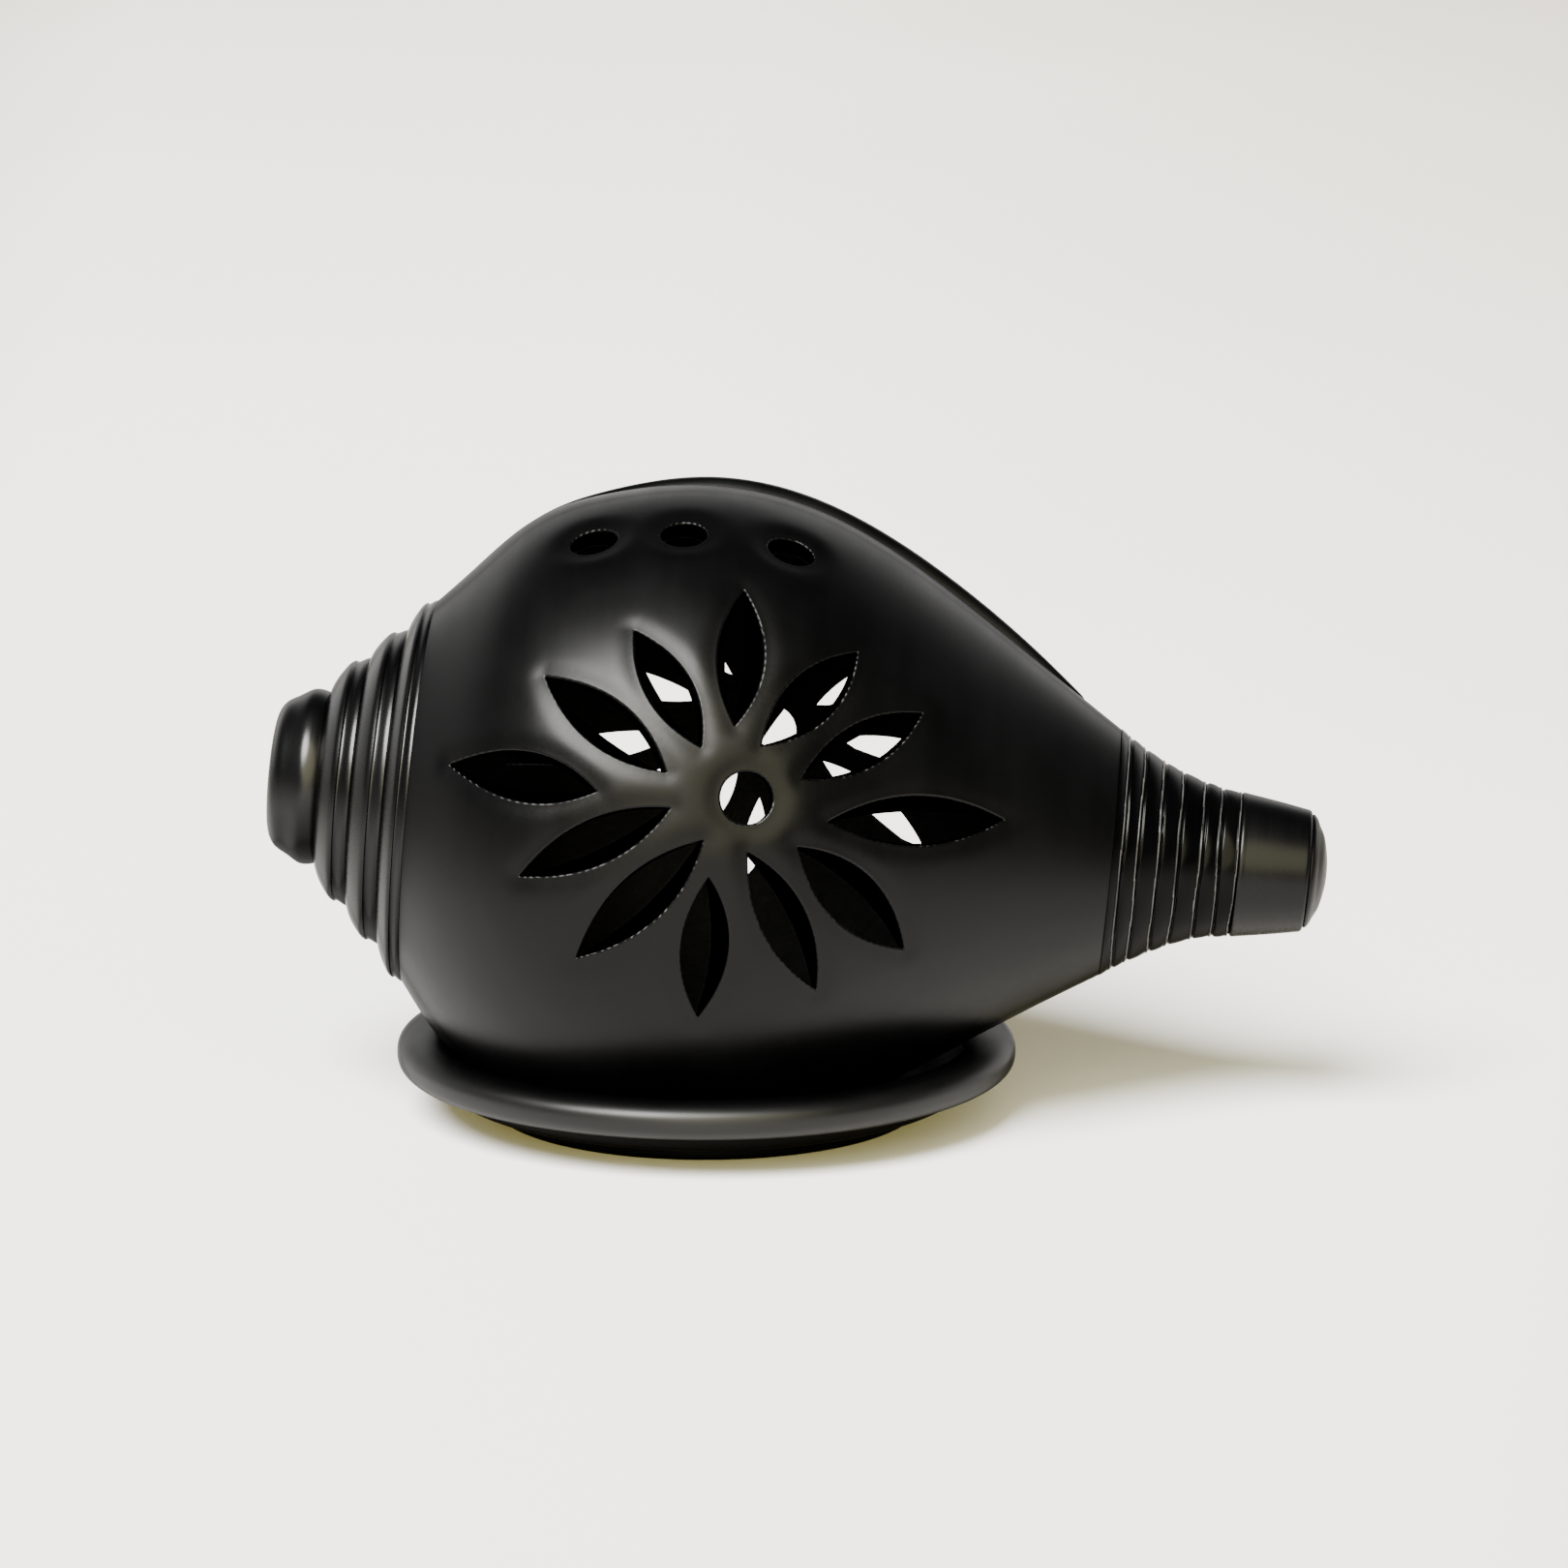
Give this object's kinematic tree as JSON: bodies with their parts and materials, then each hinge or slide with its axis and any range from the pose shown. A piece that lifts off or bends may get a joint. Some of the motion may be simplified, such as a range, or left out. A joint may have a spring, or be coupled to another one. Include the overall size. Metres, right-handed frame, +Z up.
{
  "type": "pierced clay candle cover on a dish",
  "caption": "Conch-shaped black clay luminaria with pierced flowers and vents, resting in a rolled-rim dish over a tealight.",
  "frame": {"origin": "centre of the dish's foot ring, on the ground plane that the foot stands on", "axes": "+X runs under the shell from its spire to its spout, -Y is the side with the larger, leaning flower and the vents, +Z is up"},
  "size_m": [0.3047, 0.1887, 0.1815],
  "materials": {
    "shell_clay": "burnished satin black clay",
    "dish_clay": "burnished satin black clay",
    "cup_metal": "bright pressed foil",
    "candle_wax": "smooth waxy",
    "wick_cotton": "waxed cotton",
    "tab_metal": "pressed tin plate"
  },
  "bodies": {
    "dish": {"dish_bowl": "dish_clay", "foot_ring": "dish_clay", "rim_roll": "dish_clay"},
    "cover": {"belly": "shell_clay", "back_lip": "shell_clay", "spire_tier_large": "shell_clay", "spire_tier_middle": "shell_clay", "spire_tier_small": "shell_clay", "spire_knob": "shell_clay", "neck": "shell_clay", "spout": "shell_clay", "spout_cap": "shell_clay"},
    "tealight": {"tealight_cup": "cup_metal", "tealight_wax": "candle_wax", "tealight_wick": "wick_cotton", "wick_tab": "tab_metal"}
  },
  "joints": [
    {"name": "cover_lift", "type": "slide", "parent": "dish", "child": "cover", "axis": [0, 0, 1], "range_m": [0, 0.1]},
    {"name": "tealight_lift", "type": "slide", "parent": "dish", "child": "tealight", "axis": [0, 0, 1], "range_m": [0, 0.05]}
  ]
}
